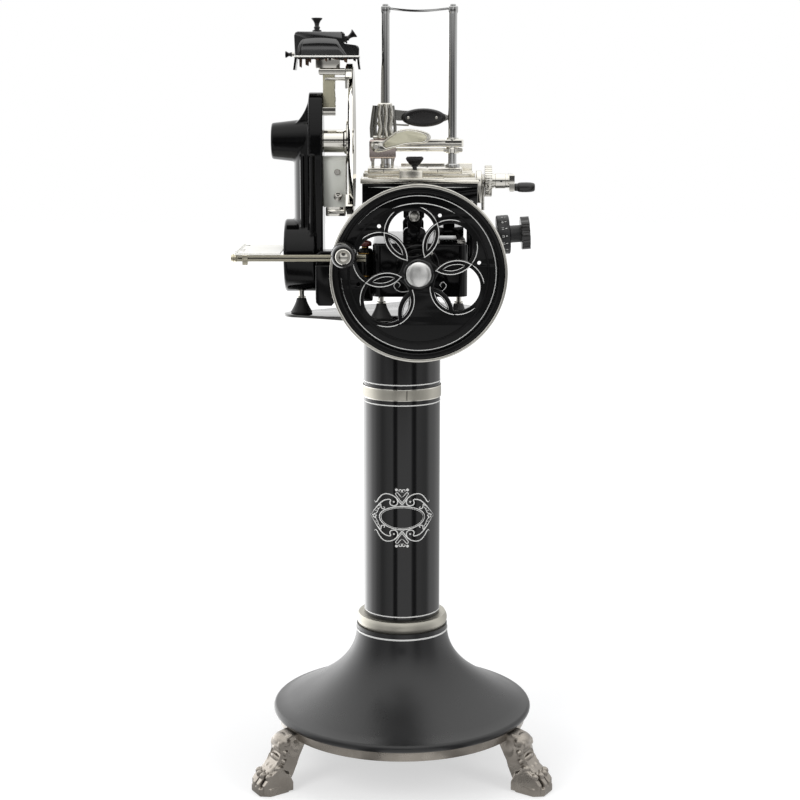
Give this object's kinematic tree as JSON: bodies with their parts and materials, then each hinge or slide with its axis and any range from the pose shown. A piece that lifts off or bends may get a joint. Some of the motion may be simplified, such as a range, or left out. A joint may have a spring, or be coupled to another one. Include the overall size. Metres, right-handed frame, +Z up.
{
  "type": "hand crank meat slicer",
  "caption": "Hand cranked meat slicer with a pierced flywheel, round knife, sliding carriage and meat clamp on a flared column stand with paw feet.",
  "frame": {"origin": "on the floor, on the axis of the stand's column", "axes": "+Z up, -Y towards the user's side with the flywheel, +X towards the meat table's crank and dial"},
  "size_m": [0.563, 0.6326, 1.388],
  "materials": {
    "black_enamel": "gloss enamel",
    "cast_silver": "satin silver",
    "brushed_steel": "brushed",
    "polished_steel": "polished",
    "black_rubber": "matte",
    "black_grip": "gloss",
    "grey_enamel": "satin enamel"
  },
  "bodies": {
    "stand_and_frame": {"paw_base": "cast_silver", "bell_base": "black_enamel", "lower_collar": "brushed_steel", "column": "black_enamel", "upper_band": "brushed_steel", "machine_plate": "polished_steel", "machine_feet": "black_rubber", "foot_stems": "polished_steel", "base_casting": "black_enamel", "base_ways": "polished_steel", "guide_posts": "black_enamel", "guide_bar": "polished_steel", "wheel_bearing": "black_enamel", "lubricator": "black_enamel", "bridge": "black_enamel", "blade_frame": "black_enamel", "guard_ring": "polished_steel", "guard_bracket_lower": "grey_enamel", "guard_bracket_upper": "polished_steel", "tray_clamp": "black_enamel", "dial_bracket": "black_enamel"},
    "wheel": {"flywheel": "black_enamel", "flywheel_rim": "polished_steel", "flywheel_shaft": "polished_steel", "handle_spindle": "polished_steel"},
    "wheel_grip": {"handle_grip": "black_grip"},
    "cross_drive": {"cross_shaft": "polished_steel"},
    "blade": {"knife": "polished_steel", "knife_shaft": "polished_steel"},
    "slice_tray": {"tray_plate": "brushed_steel", "tray_rail": "brushed_steel"},
    "dial": {"thickness_dial": "black_grip", "dial_knob": "black_grip"},
    "sharpener": {"sharpener_cover": "black_enamel", "sharpener_block": "polished_steel"},
    "sharpener_screw": {"sharpener_knob": "black_grip"},
    "stone_left": {"left_stone": "brushed_steel"},
    "stone_right": {"right_plunger": "black_grip"},
    "carriage": {"carriage_frame": "black_enamel", "carriage_deck": "polished_steel", "bar_sleeve": "black_enamel", "guide_shoe": "black_enamel", "feed_bracket": "black_enamel", "table_ways": "polished_steel"},
    "table": {"meat_table": "polished_steel", "clamp_rods": "polished_steel"},
    "nut_lock": {"thumb_knob": "black_grip"},
    "screw": {"feed_screw": "polished_steel", "ratchet_disc": "polished_steel"},
    "screw_grip": {"crank_grip": "black_grip"},
    "pawl": {"pawl_lever": "black_enamel"},
    "clamp": {"clamp_crossbar": "polished_steel", "clamp_pillar": "polished_steel", "clamp_grip": "black_grip", "lever_pin": "polished_steel"},
    "lever": {"squeeze_lever": "polished_steel"}
  },
  "joints": [
    {"name": "flywheel_turn", "type": "hinge", "parent": "stand_and_frame", "child": "wheel", "pos_m": [0.027, -0.2, 0.941], "axis": [0, 1, 0], "continuous": true},
    {"name": "handle_spin", "type": "hinge", "parent": "wheel", "child": "wheel_grip", "pos_m": [-0.09375, -0.28, 0.977], "axis": [0, 1, 0], "continuous": true},
    {"name": "cross_shaft_turn", "type": "hinge", "parent": "stand_and_frame", "child": "cross_drive", "pos_m": [-0.1, 0, 0.941], "axis": [1, 0, 0], "continuous": true},
    {"name": "knife_turn", "type": "hinge", "parent": "stand_and_frame", "child": "blade", "pos_m": [-0.088, 0, 1.151], "axis": [1, 0, 0], "continuous": true},
    {"name": "carriage_stroke", "type": "slide", "parent": "stand_and_frame", "child": "carriage", "axis": [0, 1, 0], "range_m": [-0.078, 0.078]},
    {"name": "table_feed", "type": "slide", "parent": "carriage", "child": "table", "axis": [1, 0, 0], "range_m": [-0.015, 0.06]},
    {"name": "screw_turn", "type": "hinge", "parent": "carriage", "child": "screw", "pos_m": [0.1, -0.06, 1.084], "axis": [1, 0, 0], "range_deg": [-1081, 4321]},
    {"name": "crank_grip_spin", "type": "hinge", "parent": "screw", "child": "screw_grip", "pos_m": [0.2, -0.096, 1.075], "axis": [1, 0, 0], "continuous": true},
    {"name": "pawl_release", "type": "hinge", "parent": "carriage", "child": "pawl", "pos_m": [0.14, -0.06, 1.084], "axis": [1, 0, 0], "range_deg": [-25, 25]},
    {"name": "nut_lock_turn", "type": "hinge", "parent": "table", "child": "nut_lock", "pos_m": [0.022, -0.034, 1.11], "axis": [0, 0, 1], "range_deg": [-90, 90]},
    {"name": "clamp_lift", "type": "slide", "parent": "table", "child": "clamp", "axis": [0, 0, 1], "range_m": [0, 0.145]},
    {"name": "lever_squeeze", "type": "hinge", "parent": "clamp", "child": "lever", "pos_m": [-0.046, 0.015, 1.14], "axis": [0, -1, 0], "range_deg": [0, 9]},
    {"name": "tray_slide", "type": "slide", "parent": "stand_and_frame", "child": "slice_tray", "axis": [-1, 0, 0], "range_m": [0, 0.07]},
    {"name": "dial_turn", "type": "hinge", "parent": "stand_and_frame", "child": "dial", "pos_m": [0.166, -0.04, 0.989], "axis": [0.9976, 0, 0.0698], "range_deg": [0, 330]},
    {"name": "sharpener_lift", "type": "slide", "parent": "stand_and_frame", "child": "sharpener", "axis": [0, 0, 1], "range_m": [0, 0.025]},
    {"name": "sharpener_lock", "type": "hinge", "parent": "sharpener", "child": "sharpener_screw", "pos_m": [-0.148, 0, 1.34], "axis": [0, 0, 1], "range_deg": [-180, 180]},
    {"name": "left_stone_push", "type": "slide", "parent": "sharpener", "child": "stone_left", "axis": [1, 0, 0], "range_m": [0, 0.006]},
    {"name": "right_stone_push", "type": "slide", "parent": "sharpener", "child": "stone_right", "axis": [-0.8192, 0, -0.5736], "range_m": [0, 0.006]}
  ],
  "couplings": [
    {"joint": "cross_shaft_turn", "follows": "flywheel_turn", "ratio": 1.6667},
    {"joint": "knife_turn", "follows": "flywheel_turn", "ratio": 3.75},
    {"joint": "screw_turn", "follows": "table_feed", "rad_per_m": 1256.6}
  ]
}
